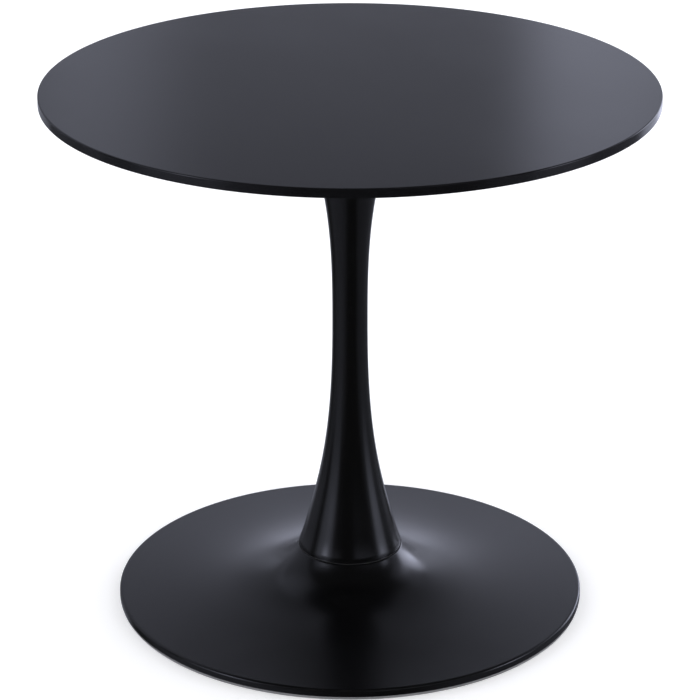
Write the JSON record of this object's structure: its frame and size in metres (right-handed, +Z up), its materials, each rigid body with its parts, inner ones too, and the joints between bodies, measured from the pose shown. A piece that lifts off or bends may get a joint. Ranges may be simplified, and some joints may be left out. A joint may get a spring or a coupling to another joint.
{
  "type": "round pedestal table",
  "caption": "Round black table: flat disc top on a slim trumpet column and a wide flared disc base, clamped by a central tie rod.",
  "frame": {"origin": "on the floor, at the middle of the base", "axes": "+Z up along the column's axis; the part is round about Z, and -Y is taken as its front"},
  "size_m": [0.8, 0.8, 0.72],
  "materials": {
    "top_lacquer": "satin",
    "column_powder": "satin",
    "base_powder": "satin",
    "plate_powder": "matte",
    "inner_steel": "satin",
    "plated_steel": "satin",
    "insert_brass": "satin",
    "gasket_rubber": "matte",
    "floor_ring_plastic": "satin"
  },
  "bodies": {
    "root": {"tabletop": "top_lacquer", "threaded_inserts": "insert_brass", "mounting_plate": "plate_powder", "plate_bolts": "plated_steel", "plate_washers": "plated_steel", "rod_boss": "plate_powder", "column_locating_ring": "plate_powder", "column_top_gasket": "gasket_rubber", "column_shell": "column_powder", "column_foot_ring": "inner_steel", "foot_gasket": "gasket_rubber", "tie_rod": "plated_steel", "rod_jam_nut": "plated_steel", "base_shell": "base_powder", "base_spigot": "inner_steel", "clamp_plate": "inner_steel", "clamp_washer": "plated_steel", "lock_washer": "plated_steel", "tie_nut": "plated_steel", "floor_ring": "floor_ring_plastic"}
  },
  "joints": []
}
